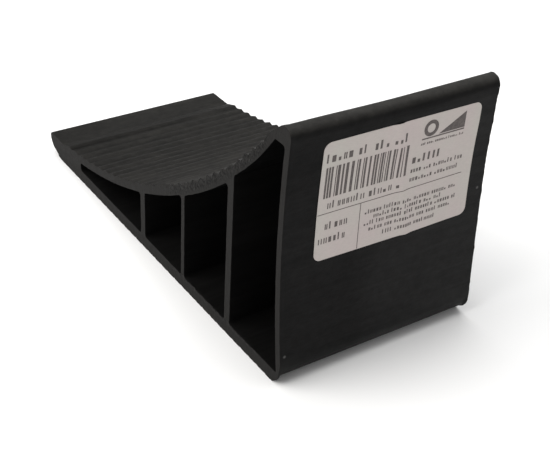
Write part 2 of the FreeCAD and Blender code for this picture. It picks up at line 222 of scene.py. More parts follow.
def straightening(x, y, z):
    """How far the heel plate stands out from its bowed section: it gets straighter towards the back."""
    bulge, tuck = 0.88 * MM, 0.15 * MM
    share = rise(x, 70, 8) * (y - BODY_LOW[1]) / WIDTH
    belly = rise(z, 4, 26) * (1 - 0.7 * rise(z, 38, 30))
    under_lip = rise(z, 73, 9)
    return share * (bulge * belly * (1 - under_lip) - tuck * under_lip)


def torn(x, nz):
    """How torn the saw left the rim: most along the upper half of the ramp."""
    return rise(x, 8, 12) * fall(x, 74, 6) * eased((nz - 0.2) / 0.3)


def torn_inside(x, z):
    """How torn the cut face is: most within a few millimetres of the upper ramp's surface."""
    depth = math.hypot(x - RAMP_MIDDLE[0], z - RAMP_MIDDLE[1]) - RAMP_RADIUS
    return torn(x, 1.0) * fall(depth, 4.2, 2)


def burr(x, z, nz, side):
    """Torn plastic standing proud of the outline next to a cut, in patches."""
    least, front_tallest, back_tallest, serration = 0.10 * MM, 0.60 * MM, 0.25 * MM, 0.30 * MM
    patch = cut_ripple(x, z, 2.2, 4 * side, 11.9)
    height = least + (front_tallest if side < 0 else back_tallest) * torn(x, nz)
    proud = height * max(-0.5, patch - 0.1)
    if side > 0 and x > RAMP_TOP:
        proud += serration * max(0.0, cut_ripple(x, z, 1.3, 6 * side, 7.3))
    return proud


def heel_lump(x, z, gap, side):
    """Plastic that the saw pushed out around the heel's rounding, within a millimetre of a cut."""
    front_height, back_height = 0.9 * MM, 0.6 * MM
    if side < 0:
        return front_height * rise(x, 76, 3) * fall(z, 6, 3) * fall(gap, 1.6, 1.1)
    return back_height * rise(x, 80.8, 1.6) * fall(z, 11, 3) * fall(gap, 1.4, 0.9)


def smeared(z, side):
    """Share of a sole notch that the saw smeared shut next to a cut."""
    notch_reach, share = 1.2 * MM, 0.55
    return share if side and z < notch_reach else 0.0


def in_box(place):
    """Keep a point inside the CAD model's box."""
    return tuple(min(max(value, low), high) for value, low, high in zip(place, BODY_LOW, BODY_HIGH))


def worked(x, y, z, nx, nz, rounding, side, outer):
    """Where a point of an outline ends up once the die, the saw and the wear have had their way."""
    unevenness = 1 + 0.8 * cut_ripple(x, z, 4, 3 * side, 6.1)
    out = skin_wave(x, y, z) - rounding * unevenness
    strayed = 0.0
    if side and outer:
        out += heel_lump(x, z, min(y - BODY_LOW[1], BODY_HIGH[1] - y), side)
    if side and rounding:
        out += burr(x, z, nz, side)
        strayed = saw_wander(x, z, side)
    height = (z + nz * out) * (1 - smeared(z, side)) - lip_sag(y, z)
    across = x + nx * out + straightening(x, y, z)
    return in_box((across, y + strayed, height))


def join_rings(faces, slots, places, base, size, wall):
    """Faces between the rings of one outline, which start at vertex base and have size points each."""
    rim_rounding = 0.05 * MM
    for j in range(len(places) - 1):
        near_cut = max(places[j][1], places[j + 1][1]) > rim_rounding
        for i in range(size):
            a, b = base + j * size + i, base + j * size + (i + 1) % size
            faces.append((a, a + size, b + size, b))
            slots.append(SAWN if near_cut else wall)


def moulding_mesh():
    """Vertices, faces, material slots, the values that the materials read, and the broad normals."""
    outlines = [softened(outline) for outline in end_outlines("chock_body")]
    outlines.sort(key=lambda outline: -np.ptp(outline[0][:, 0]))
    places = sections()
    vertices, faces, slots = [], [], []
    crest, teeth, skin_tones_and_light, tears, broad = [], [], [], [], []
    front_rings, back_rings = [], []
    for number, (points, normals, broad_normals, convex) in enumerate(outlines):
        outer = number == 0
        base, size = len(vertices), len(points)
        for y, rounding, side in places:
            for (x, z), (nx, nz), (broad_nx, broad_nz), bulge in zip(points, normals, broad_normals, convex):
                vertices.append(worked(x, y, z, nx, nz, rounding, side, outer))
                crest.append(bulge)
                teeth.append(toothed(x, broad_nz))
                skin_tones_and_light.append(skin_tone_and_light(x, y, z, broad_nz, nx - broad_nx))
                tears.append(torn(x, nz) if side else 0.0)
                broad += (broad_nx, 0.0, broad_nz)
        join_rings(faces, slots, places, base, size, SKIN if outer else CELL_WALL)
        last = base + (len(places) - 1) * size
        front_rings.append(list(range(base, base + size)))
        back_rings.append(list(range(last, last + size)))
    ring_count = len(vertices)
    for rings, side in ((front_rings, -1), (back_rings, 1)):
        add_cut_face(vertices, faces, slots, rings, side)
    for x, y, z in vertices[ring_count:]:
        crest.append(0.0)
        teeth.append(0.0)
        skin_tones_and_light.append(1.0)
        tears.append(torn_inside(x, z))
        broad += (0.0, 0.0, 1.0)
    return vertices, faces, slots, {"crest": crest, "toothed": teeth, "skin_tone_and_light": skin_tones_and_light, "torn": tears}, broad


def toothed(x, broad_nz):
    """1 on the ramp's teeth, 0 elsewhere."""
    return rise(x, -70, 4) * fall(x, 72, 4) * eased((broad_nz - 0.3) / 0.2)


# How much paler or darker the outer skin is made, 1 where it is unchanged: partly dust, partly painted light
# and shade, as noted below.
PLATE_TONE = (0.86, 1.17)  # at the front and at the back of the heel plate
PLATE_TOP_LOSS = 0.14
LIP_SHADE_AND_HIGHLIGHT = (0.85, 1.05)  # painted shade along the lip, and the share of painted highlight that its top gains
RAMP_TONE = (0.98, 1.16)  # at the front and at the back of the ramp
LAND_RISE_PAINTED_SHADE = 0.18  # painted shade on the rise from the land to the first tooth
FIRST_CREST_LOSS = 0.1
# Darker in the first valley near the front; near the back it is paler, painted light against the valley's
# shade.
FIRST_VALLEY_TONE_AND_LIGHT = 0.65
GENTLE_FLANK_LOSS, STEEP_FLANK_GAIN = 0.8, 0.35  # painted light and shade that make the two flanks of a tooth look alike
# Paler at the toe's edge towards the back; the middle and upper ramp, which turn away from the top light,
# get painted light.
TOE_EDGE_GAIN, MIDDLE_GAIN, UPPER_GAIN = 0.1, 0.12, 0.1


def plate_tone(y, z):
    """The heel plate is darker near its front and top edges than low down at the back."""
    front_to_back_tone = blend(*PLATE_TONE, rise(y, -13, 13))
    return front_to_back_tone * (1 - PLATE_TOP_LOSS * rise(z, 60, 12) * fall(y, 34, 20))


def ramp_tone_and_light(x, y, lean):
    """Painted light and shade even out the teeth's flanks, the rise from the land and the upper ramp; behind
    the first crest the ramp is darker, most of all near the front.
    """
    share = (y - BODY_LOW[1]) / WIDTH
    past_land, past_valley = x - TOE_CORNER, x - FIRST_VALLEY
    # painted shade on the rise from the land
    land = 1 - LAND_RISE_PAINTED_SHADE * rise(past_land, -1, 3)
    land -= FIRST_CREST_LOSS * (1 - share) * rise(past_land, 2, 4)
    # painted light and shade: the flank that faces the heel is made paler, the other darker
    flanks = 1 + GENTLE_FLANK_LOSS * min(0.0, lean) + STEEP_FLANK_GAIN * max(0.0, lean)
    pale = blend(land, flanks, rise(past_valley, -1.8, 1))
    # first valley: darker near the front, painted light near the back
    pale = blend(pale, FIRST_VALLEY_TONE_AND_LIGHT * blend(1, 1.7, share), fall(abs(past_valley), 1.8, 1.5))
    toe_edge = TOE_EDGE_GAIN * fall(x - BODY_LOW[0], 5, 2.5) * rise(y, -18, 8)
    # painted light on the middle and upper ramp
    upper = MIDDLE_GAIN * rise(x, -25, 15) + UPPER_GAIN * rise(x, 8, 10)
    return pale * blend(*RAMP_TONE, share) * (1 + toe_edge + upper)


def skin_tone_and_light(x, y, z, broad_nz, lean):
    """Tone with painted light and shade at a place on the skin; lean is how far a tooth's flank faces the
    heel.
    """
    if broad_nz > 0.3 and x < RAMP_TOP:
        return ramp_tone_and_light(x, y, lean)
    if x > RAMP_TOP:
        below, gain = LIP_SHADE_AND_HIGHLIGHT
        # painted shade along the lip, with a painted highlight on its top
        lip = below * (1 + gain * rise(z, 86.4, 1.7))
        return blend(plate_tone(y, z), lip, rise(z, 82, 3))
    return 1.0


def cut_face_grid(flat, border, side):
    """Shaken (x, z) points of a cut face, clear of its outlines."""
    pitch, clearance, shift = 0.9 * MM, 0.5 * MM, 0.3
    shake = random.Random(SEED + side)
    grid = []
    for x in np.arange(BODY_LOW[0], BODY_HIGH[0], pitch):
        for z in np.arange(BODY_LOW[2], BODY_HIGH[2], pitch):
            grid.append((x + shake.uniform(-shift, shift) * pitch, z + shake.uniform(-shift, shift) * pitch))
    grid = np.array(grid)
    grid = grid[inside(grid, flat)]
    gap = np.array([np.min(np.hypot(*(border - point).T)) for point in grid])
    return grid[gap > clearance]


def cut_depth(x, z, side):
    """How far a point of a cut face lies off the saw's plane: drift, ridges, grain and torn pits."""
    grain_height, pit_depth = 0.02 * MM, 0.5 * MM
    grain = grain_height * cut_ripple(x, z, 1.3, 7 * side, 2.9)
    pit = pit_depth * torn_inside(x, z) * max(0.0, cut_ripple(x, z, 1.8, 9 * side, 4.7) - 0.15)
    return saw_wander(x, z, side) + grain - side * pit


def add_cut_face(vertices, faces, slots, rings, side):
    """Close one sawn end between the rings of its outlines, with inner points for its rough surface."""
    flat = [np.array([(vertices[index][0], vertices[index][2]) for index in ring]) for ring in rings]
    border = np.vstack(flat)
    y = BODY_LOW[1] + SAW_ALLOWANCE if side < 0 else BODY_HIGH[1] - SAW_ALLOWANCE
    grid = cut_face_grid(flat, border, side)
    indices = [index for ring in rings for index in ring]
    loops, start = [], 0
    for ring in rings:
        loops += [(start + k, start + (k + 1) % len(ring)) for k in range(len(ring))]
        start += len(ring)
    for x, z in grid:
        indices.append(len(vertices))
        vertices.append(in_box((x, y + cut_depth(x, z, side), z)))
    flat_points = [Vector(point / MM) for point in np.vstack([border, grid])]
    made = delaunay_2d_cdt(flat_points, loops, [], 1, 1e-6)
    sources = [origin[0] for origin in made[3]]
    middles = np.array([np.mean([made[0][corner] for corner in triangle], axis=0) for triangle in made[2]])
    solid = inside(middles * MM, flat)
    for triangle in (triangle for triangle, kept in zip(made[2], solid) if kept):
        face = [indices[sources[corner]] for corner in triangle]
        faces.append(face if side < 0 else face[::-1])
        slots.append(SAWN)


def build_moulding():
    """The whole black moulding, with the values that its materials read stored on its points."""
    vertices, faces, slots, attributes, broad = moulding_mesh()
    mesh = bpy.data.meshes.new("chock_moulding")
    mesh.from_pydata(vertices, [], faces)
    for material in (extruded_skin(), sawn_plastic(), shaded_cell_wall()):
        mesh.materials.append(material)
    mesh.polygons.foreach_set("material_index", slots)
    mesh.polygons.foreach_set("use_smooth", [True] * len(mesh.polygons))
    for name, values in attributes.items():
        mesh.attributes.new(name, "FLOAT", "POINT").data.foreach_set("value", values)
    mesh.attributes.new("broad", "FLOAT_VECTOR", "POINT").data.foreach_set("vector", broad)
    mesh.set_sharp_from_angle(angle=math.radians(32))
    mesh.update()
    add_piece("chock_moulding", mesh, "black_plastic", "chock_body")


def add_piece(name, mesh, slot, *nodes):
    """A visible piece that takes the place of CAD nodes."""
    piece = bpy.data.objects.new(name, mesh)
    bpy.context.scene.collection.objects.link(piece)
    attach(piece, "root")
    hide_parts(*nodes)


# ---------------------------------------------------------------- the label

LABEL_TILT = math.radians(-0.65)
LABEL_LONG, LABEL_TALL = 58 * MM, 40 * MM
LABEL_CORNER = 2.5 * MM
LABEL_MESH_GAP = 0.8 * MM
PAPER = 0.12 * MM
INK = 0.035 * MM
PRINT_STEP = 0.8  # mm, the longest step of the print's mesh
LABEL_MIDDLE = (LABEL_LOW + LABEL_HIGH) / 2


def plate_face():
    """Heel plate's outer face behind the label: x as a quadratic in z, highest power first."""
    vertices = [vertex.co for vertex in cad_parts["label"].data.vertices]
    heights = np.array([vertex.z for vertex in vertices])
    depths = np.array([vertex.x for vertex in vertices])
    rows = np.unique(np.round(heights, 5))
    backs = np.array([depths[np.abs(heights - row) < 1e-5].min() for row in rows])
    return np.polyfit(rows, backs, 2)


PLATE_CURVE = plate_face()


def creases(u, v):
    """Height of the paper above the plate at (u, v), metres from the label's lower left corner."""
    foot, lean, height, reach = 34 * MM, 7.5 * MM, 0.42 * MM, 1.7 * MM
    ridge = u - (foot - lean * v / LABEL_TALL)
    tent = height * math.exp(-((ridge / reach) ** 2))
    return tent + 0.05 * MM * (1 + ripple(u / 0.012, 0, v / 0.016, 4.4))


def on_label(u, v, lift):
    """Point at (u, v) on the label, lifted off the paper's back along the plate's normal."""
    pulled = 0.5 * MM * rise(u, 32, 26) * (1 - v / LABEL_TALL)
    across, up = u - LABEL_LONG / 2, v + pulled - LABEL_TALL / 2
    y = LABEL_MIDDLE[1] + across * math.cos(LABEL_TILT) - up * math.sin(LABEL_TILT)
    z = LABEL_MIDDLE[2] + across * math.sin(LABEL_TILT) + up * math.cos(LABEL_TILT)
    flat = np.polyval(PLATE_CURVE, z)
    x = flat + straightening(flat, y, z) + creases(u, v) + lift
    return (x, y, z)


def label_outline():
    """Rounded rectangle of the label's edge as (u, v) points, counter-clockwise."""
    right, top, radius = LABEL_LONG - LABEL_CORNER, LABEL_TALL - LABEL_CORNER, LABEL_CORNER
    corners = [(right, radius, -90), (right, top, 0), (radius, top, 90), (radius, radius, 180)]
    steps, longest = 8, 0.7 * MM
    points = []
    for centre_u, centre_v, start in corners:
        for step in range(steps + 1):
            angle = math.radians(start + step * 90 / steps)
            points.append((centre_u + radius * math.cos(angle), centre_v + radius * math.sin(angle)))
    spaced = []
    for a, b in zip(points, points[1:] + points[:1]):
        count = max(1, round(math.dist(a, b) / longest))
        spaced += [(blend(a[0], b[0], k / count), blend(a[1], b[1], k / count)) for k in range(count)]
    return np.array(spaced)


def label_points(outline):
    """Points of the paper's mesh: its edge, then a grid that stays clear of it."""
    gap = LABEL_MESH_GAP
    grid = [(u, v) for u in np.arange(gap, LABEL_LONG, gap) for v in np.arange(gap, LABEL_TALL, gap)]
    grid = np.array(grid)
    grid = grid[inside(grid, [outline])]
    clear = np.array([np.min(np.hypot(*(outline - point).T)) for point in grid])
    return np.vstack([outline, grid[clear > gap / 2]])


def build_label_paper(paper):
    """A thin closed sheet that lies on the heel plate, creased and pulled up at one corner."""
    outline = label_outline()
    flat = label_points(outline)
    rim = len(outline)
    edges = [(k, (k + 1) % rim) for k in range(rim)]
    made = delaunay_2d_cdt([Vector(point / MM) for point in flat], edges, [], 1, 1e-6)
    sources = [origin[0] for origin in made[3]]
    triangles = [[sources[corner] for corner in triangle] for triangle in made[2]]
    count = len(flat)
    vertices = [on_label(u, v, PAPER) for u, v in flat] + [on_label(u, v, 0.01 * MM) for u, v in flat]
    faces = triangles + [[corner + count for corner in reversed(triangle)] for triangle in triangles]
    faces += [(k, k + count, (k + 1) % rim + count, (k + 1) % rim) for k in range(rim)]
    mesh = bpy.data.meshes.new("label_paper")
    mesh.from_pydata(vertices, [], faces)
    mesh.materials.append(paper)
    mesh.polygons.foreach_set("use_smooth", [True] * len(mesh.polygons))
    mesh.set_sharp_from_angle(angle=math.radians(40))
    mesh.update()
    add_piece("label_paper", mesh, "label_paper", "label")


class Print:
    """Thin blocks of ink that follow the paper. Sizes and places are in millimetres on the label."""

    def __init__(self):
        self.vertices = []
        self.faces = []

    def block(self, u, v, wide, tall):
        """A filled rectangle with its lower left corner at (u, v), in millimetres."""
        columns = max(1, math.ceil(wide / PRINT_STEP))
        rows = max(1, math.ceil(tall / PRINT_STEP))
        base = len(self.vertices)
        for lift in (INK, 0.0):
            for j in range(rows + 1):
                for i in range(columns + 1):
                    place = ((u + wide * i / columns) * MM, (v + tall * j / rows) * MM)
                    self.vertices.append(on_label(*place, PAPER + lift))
        layer = (columns + 1) * (rows + 1)

        def corner(i, j, deep=0):
            return base + deep * layer + j * (columns + 1) + i

        for j in range(rows):
            for i in range(columns):
                self.faces.append((corner(i, j), corner(i + 1, j), corner(i + 1, j + 1), corner(i, j + 1)))
        border = [(i, 0) for i in range(columns)] + [(columns, j) for j in range(rows)]
        border += [(i, rows) for i in range(columns, 0, -1)] + [(0, j) for j in range(rows, 0, -1)]
        for a, b in zip(border, border[1:] + border[:1]):
            self.faces.append((corner(*a), corner(*a, 1), corner(*b, 1), corner(*b)))

    def outline_shape(self, points):
        """A filled convex shape given by its (u, v) corners in millimetres, counter-clockwise."""
        base = len(self.vertices)
        count = len(points)
        for lift in (INK, 0.0):
            self.vertices += [on_label(u * MM, v * MM, PAPER + lift) for u, v in points]
        self.faces.append(tuple(range(base, base + count)))
        for k in range(count):
            following = (k + 1) % count
            self.faces.append((base + k, base + count + k, base + count + following, base + following))


def placeholder_line(ink, chance, u, v, width, tall, stroke):
    """A line of meaningless marks: upright dashes of uneven height in word-like groups."""
    place = u
    while place < u + width - tall * 0.6:
        letters = chance.randint(3, 8)
        for _ in range(letters):
            wide = tall * chance.choice((0.42, 0.5, 0.58))
            if place + wide > u + width:
                break
            add_mark(ink, chance, place, v, wide, tall, stroke)
            place += wide + tall * 0.2
        place += tall * 0.45


def add_mark(ink, chance, u, v, wide, tall, stroke):
    """One meaningless mark: a block, or one or two upright dashes. None of them joins into a letter."""
    body = tall * 0.74
    kind = chance.choice(("block", "pair", "pair", "tall", "low"))
    if kind == "block":
        ink.block(u, v, wide * 0.8, body)
    elif kind == "tall":
        ink.block(u, v, stroke * 1.3, tall)
    elif kind == "low":
        ink.block(u, v, wide * 0.7, body * 0.55)
    else:
        ink.block(u, v, stroke, body)
        ink.block(u + wide - stroke * 1.3, v, stroke, body)


def bar_code(ink, chance, u, v, width, tall):
    """Random bars and gaps: they carry no number."""
    unit = width / 95
    place = u
    while place < u + width - unit:
        bar = chance.choice((1, 1, 2, 2, 3)) * unit
        ink.block(place, v, min(bar, u + width - place), tall)
        place += bar + chance.choice((1, 1, 2, 3)) * unit


def wheel_and_wedge(ink, u, v, tall):
    """A plain pictogram: a wheel held by a wedge on a line."""
    middle_u, middle_v = u + tall * 0.5, v + tall * 0.56
    outer, inner, sides = tall * 0.44, tall * 0.242, 28
    turn = [2 * math.pi * k / sides for k in range(sides + 1)]
    for a, b in zip(turn, turn[1:]):
        ring = [(inner, a), (outer, a), (outer, b), (inner, b)]
        ink.outline_shape([(middle_u + r * math.cos(t), middle_v + r * math.sin(t)) for r, t in ring])
    start, end, level = u + tall * 1.02, u + tall * 2.62, v + tall * 0.12
    ink.outline_shape([(start, level), (end, level), (end, v + tall)])
    ink.block(u, v, tall * 2.62, tall * 0.07)


# Lines of the print as (left, level, width, height, stroke), mm from the label's lower left corner.
HEADING_LINES = [(1.4, 33.2, 14.5, 2.9, 0.42), (18.4, 33.2, 15.6, 2.9, 0.55)]
PICTOGRAM = (35.8, 32.0, 6.2)  # left, level, height
PICTOGRAM_LINE = (35.8, 30.2, 16.4, 0.9, 0.2)
BAR_CODE = (1.6, 21.3, 30.4, 10.3)  # left, level, width, height
BAR_CODE_LINE = (3.4, 17.5, 27.0, 2.5, 0.36)
NAME_LINES = [(33.4, 24.6, 12.6, 2.7, 0.55), (33.4, 21.4, 20.0, 1.6, 0.28), (33.4, 18.4, 19.6, 1.6, 0.28)]
RULES = [(0.2, 15.9, 54.1, 0.22), (15.6, 0.2, 0.22, 15.7)]  # left, level, width, height
SIDE_LINES = [(3.2, 10.4, 8.2, 2.5, 0.36), (1.2, 5.7, 11.0, 2.5, 0.36)]
SMALL_LINES = [  # left, level, width
    (17.6, 11.5, 36.0),
    (21.0, 9.5, 26.6),
    (17.6, 7.5, 36.0),
    (19.6, 5.3, 31.6),
    (25.0, 2.7, 21.0),
]
SMALL_TALL, SMALL_STROKE = 1.45, 0.27


def build_label_print(ink_material):
    """The print, in place of the words: meaningless marks, bars, rules and a pictogram."""
    ink, chance = Print(), random.Random(SEED)
    for line in HEADING_LINES:
        placeholder_line(ink, chance, *line)
    wheel_and_wedge(ink, *PICTOGRAM)
    placeholder_line(ink, chance, *PICTOGRAM_LINE)
    bar_code(ink, chance, *BAR_CODE)
    for line in [BAR_CODE_LINE] + NAME_LINES:
        placeholder_line(ink, chance, *line)
    for rule in RULES:
        ink.block(*rule)
    for line in SIDE_LINES:
        placeholder_line(ink, chance, *line)
    for line in SMALL_LINES:
        placeholder_line(ink, chance, *line, SMALL_TALL, SMALL_STROKE)
    mesh = bpy.data.meshes.new("label_print")
    mesh.from_pydata(ink.vertices, [], ink.faces)
    mesh.materials.append(ink_material)
    mesh.update()
    add_piece("label_print", mesh, "label_paper", "label")


# ---------------------------------------------------------------- materials

def new_material(name):
    """A material with its nodes, links and shader."""
    material = bpy.data.materials.new(name)
    material.use_nodes = True
    nodes, links = material.node_tree.nodes, material.node_tree.links
    return material, nodes, links, nodes["Principled BSDF"]


def grey(value, warmth=0.0):
    """A linear grey, warmer for a positive warmth."""
    return (value * (1 + warmth), value, value * (1 - warmth), 1.0)


SKIN_DARK, SKIN_PALE = grey(0.0046), grey(0.0078, 0.02)
CUT_DARK, CUT_PALE = grey(0.0080, 0.05), grey(0.0140, 0.05)
# The cells' colours are painted shade: a darker copy of the plastic, darkest on the faces that look down.
CELL_SHADE_DARK, CELL_SHADE_PALE, CELL_CEILING_SHADE = grey(0.0031, 0.02), grey(0.0050, 0.03), grey(0.0009)
# The first of these is painted shade with dirt, for the hollows between the teeth.
HOLLOW_SHADE_AND_GRIME, WORN_EDGE, TORN_TIP, CHIP = grey(0.003), grey(0.025, 0.04), grey(0.018, 0.06), grey(0.07, 0.02)
PAPER_WARM, PAPER_COOL = (0.50, 0.44, 0.425, 1), (0.485, 0.46, 0.425, 1)
INK_DARK, INK_PALE = (0.055, 0.045, 0.042, 1), (0.12, 0.1, 0.095, 1)
FLOOR_DARK, FLOOR_PALE = grey(0.86), (0.89, 0.89, 0.885, 1)
SKIN_SPECULAR, CUT_SPECULAR, CELL_SPECULAR = 0.09, 0.10, 0.03
PAPER_SPECULAR, FLOOR_SPECULAR = 0.35, 0.2


def stretched(nodes, links, scale):
    """Object coordinates scaled per axis, in features per metre."""
    coordinates = nodes.new("ShaderNodeTexCoord")
    mapping = nodes.new("ShaderNodeMapping")
    mapping.inputs["Scale"].default_value = scale
    links.new(coordinates.outputs["Object"], mapping.inputs["Vector"])
    return mapping.outputs["Vector"]


def noise_value(nodes, links, scale, detail, roughness):
    """Grey noise from 0 to 1 with its own scale along X, Y and Z, in features per metre."""
    texture = nodes.new("ShaderNodeTexNoise")
    texture.inputs["Scale"].default_value = 1.0
    texture.inputs["Detail"].default_value = detail
    texture.inputs["Roughness"].default_value = roughness
    links.new(stretched(nodes, links, scale), texture.inputs["Vector"])
    return texture.outputs["Fac"]


def ramp(nodes, links, value, stops):
    """Colour ramp; each stop is a position with a grey level or a colour."""
    node = nodes.new("ShaderNodeValToRGB")
    elements = node.color_ramp.elements
    while len(elements) < len(stops):
        elements.new(0.5)
    for element, (position, colour) in zip(elements, stops):
        element.position = position
        element.color = colour if isinstance(colour, tuple) else grey(colour)
    links.new(value, node.inputs["Fac"])
    return node.outputs["Color"]


def mixed(nodes, links, share, first, second, kind="MIX"):
    """The two colours or vectors, mixed by a share from 0 to 1."""
    node = nodes.new("ShaderNodeMix")
    node.data_type = "RGBA"
    node.blend_type = kind
    for socket, value in (("Factor", share), ("A", first), ("B", second)):
        target = [item for item in node.inputs if item.name == socket and item.enabled][0]
        if isinstance(value, bpy.types.NodeSocket):
            links.new(value, target)
        else:
            target.default_value = value
    return [item for item in node.outputs if item.enabled][0]


def times(nodes, links, first, second):
    """The product of two colours."""
    return mixed(nodes, links, 1.0, first, second, "MULTIPLY")


def maths(nodes, links, operation, first, second):
    """One sum on two values, each a number or a socket."""
    node = nodes.new("ShaderNodeMath")
    node.operation = operation
    for socket, value in zip(node.inputs, (first, second)):
        if isinstance(value, bpy.types.NodeSocket):
            links.new(value, socket)
        else:
            socket.default_value = value
    return node.outputs["Value"]


def attribute(nodes, name):
    """A value that the mesh carries at each of its points."""
    node = nodes.new("ShaderNodeAttribute")
    node.attribute_name = name
    return node.outputs["Fac"]


def add_bump(nodes, links, shader, height, distance, start=None):
    """Fine relief on top of the surface's own normal, or of another normal to start from."""
    node = nodes.new("ShaderNodeBump")
    if start:
        links.new(start, node.inputs["Normal"])
    node.inputs["Distance"].default_value = distance
    node.inputs["Strength"].default_value = 1.0
    links.new(height, node.inputs["Height"])
    links.new(node.outputs["Normal"], shader.inputs["Normal"])


UPWARD_DUST_AND_LIGHT_GAIN = (1.72, 1.66, 1.52, 1.0)  # the upward faces are paler: a thin layer of dust, with painted light from above
TEETH_SOFTENED = 0.9  # dust evens out the light on the two flanks of each tooth
SPECKS = ((0.35, -36.2, 11.4), (2.25, 35.7, 49.5))  # mm in from the heel's foot, then y and z
SPECK_RADIUS = 0.45 * MM


def rounded_normal(nodes, links):
    """The surface's normal, turned on the teeth most of the way to that of the ramp as a whole."""
    actual = nodes.new("ShaderNodeNewGeometry").outputs["Normal"]
    broad = nodes.new("ShaderNodeAttribute")
    broad.attribute_name = "broad"
    turned = nodes.new("ShaderNodeVectorTransform")
    turned.vector_type = "NORMAL"
    turned.convert_from = "OBJECT"
    turned.convert_to = "WORLD"
    links.new(broad.outputs["Vector"], turned.inputs["Vector"])
    share = maths(nodes, links, "MULTIPLY", attribute(nodes, "toothed"), TEETH_SOFTENED)
    between = mixed(nodes, links, share, actual, turned.outputs["Vector"])
    unit = nodes.new("ShaderNodeVectorMath")
    unit.operation = "NORMALIZE"
    links.new(between, unit.inputs[0])
    return unit.outputs["Vector"]


def spot(nodes, links, place, radius):
    """1 in a small spot around a place on the surface, 0 elsewhere."""
    coordinates = nodes.new("ShaderNodeTexCoord")
    distance = nodes.new("ShaderNodeVectorMath")
    distance.operation = "DISTANCE"
    links.new(coordinates.outputs["Object"], distance.inputs[0])
    distance.inputs[1].default_value = place
    share = maths(nodes, links, "DIVIDE", distance.outputs["Value"], 2 * radius)
    return ramp(nodes, links, share, [(0.3, 1), (0.7, 0)])


def extruded_skin():
    """Black plastic as it left the die: matt, cloudy, with short draw marks along Y, dust with painted light
    on the upward faces, and painted light and shade on the ramp and the lip.
    """
    material, nodes, links, shader = new_material("extruded_black_plastic")
    clouds = noise_value(nodes, links, (90, 50, 90), 6.0, 0.72)
    streaks = noise_value(nodes, links, (520, 30, 520), 3.0, 0.5)
    mottle = noise_value(nodes, links, (420, 300, 420), 4.0, 0.7)
    colour = ramp(nodes, links, clouds, [(0.3, SKIN_DARK), (0.7, SKIN_PALE)])
    colour = times(nodes, links, colour, ramp(nodes, links, streaks, [(0.35, 0.93), (0.7, 1.07)]))
    colour = times(nodes, links, colour, ramp(nodes, links, mottle, [(0.35, 0.74), (0.65, 1.28)]))
    upward = facing_up(nodes, links)
    # dust with painted light from above on the upward faces
    colour = mixed(nodes, links, upward, colour, times(nodes, links, colour, UPWARD_DUST_AND_LIGHT_GAIN))
    colour = tooth_marks(nodes, links, colour)
    colour = wear_marks(nodes, links, colour)
    links.new(colour, shader.inputs["Base Color"])
    rough = ramp(nodes, links, streaks, [(0.3, 0.5), (0.75, 0.66)])
    links.new(rough, shader.inputs["Roughness"])
    gloss = maths(nodes, links, "MULTIPLY", attribute(nodes, "skin_tone_and_light"), SKIN_SPECULAR)
    links.new(gloss, shader.inputs["Specular IOR Level"])
    grain = noise_value(nodes, links, (2600, 900, 2600), 3.0, 0.6)
    height = maths(nodes, links, "ADD", grain, maths(nodes, links, "MULTIPLY", streaks, 1.6))
    add_bump(nodes, links, shader, height, 0.06 * MM, start=rounded_normal(nodes, links))
    return material


def tooth_marks(nodes, links, colour):
    """The skin's tone with its painted light and shade, then painted shade with dirt in the hollows between
    the teeth, in short broken runs.
    """
    # the skin's tone with painted light and shade, stored on its points
    colour = times(nodes, links, colour, attribute(nodes, "skin_tone_and_light"))
    hollow = maths(nodes, links, "MULTIPLY", attribute(nodes, "crest"), -1.6)
    hollow = maths(nodes, links, "MAXIMUM", hollow, 0.0)
    hollow = maths(nodes, links, "MULTIPLY", hollow, attribute(nodes, "toothed"))
    patches = noise_value(nodes, links, (110, 70, 110), 4.0, 0.65)
    runs = ramp(nodes, links, patches, [(0.46, 0), (0.58, 1)])
    # painted shade with dirt in the hollows, in broken runs
    hollow_shade_and_grime = maths(nodes, links, "MULTIPLY", hollow, runs)
    hollow_shade_and_grime = maths(nodes, links, "MINIMUM", hollow_shade_and_grime, 1.0)
    return mixed(nodes, links, maths(nodes, links, "MULTIPLY", hollow_shade_and_grime, 0.45), colour, HOLLOW_SHADE_AND_GRIME)


def wear_marks(nodes, links, colour):
    """Scuffed edges off the teeth, pale torn tips next to the cuts, and two chips."""
    scuffs = noise_value(nodes, links, (900, 300, 900), 5.0, 0.7)
    raised = maths(nodes, links, "MAXIMUM", attribute(nodes, "crest"), 0.0)
    off_teeth = maths(nodes, links, "SUBTRACT", 1.0, attribute(nodes, "toothed"))
    worn = maths(nodes, links, "MULTIPLY", maths(nodes, links, "MULTIPLY", raised, scuffs), 0.12)
    worn = maths(nodes, links, "MULTIPLY", worn, off_teeth)
    colour = mixed(nodes, links, worn, colour, WORN_EDGE)
    tips = maths(nodes, links, "MULTIPLY", attribute(nodes, "torn"), scuffs)
    colour = mixed(nodes, links, maths(nodes, links, "MULTIPLY", tips, 0.5), colour, TORN_TIP)
    for depth, y, z in SPECKS:
        chip = spot(nodes, links, (BODY_HIGH[0] - depth * MM, y * MM, z * MM), SPECK_RADIUS)
        colour = mixed(nodes, links, chip, colour, CHIP)
    return colour


def upwardness(nodes, links):
    """Z part of the surface's normal: 1 where it faces up, -1 where it faces down."""
    geometry = nodes.new("ShaderNodeNewGeometry")
    split = nodes.new("ShaderNodeSeparateXYZ")
    links.new(geometry.outputs["Normal"], split.inputs["Vector"])
    return split.outputs["Z"]


def facing_up(nodes, links):
    """1 where the surface faces up, 0 where it is upright or faces down."""
    return ramp(nodes, links, upwardness(nodes, links), [(0.25, 0), (0.55, 1)])


def facing_down(nodes, links):
    """1 where the surface faces down, 0 where it is upright or faces up."""
    below = maths(nodes, links, "MULTIPLY", upwardness(nodes, links), -1.0)
    return ramp(nodes, links, below, [(0.1, 0), (0.4, 1)])


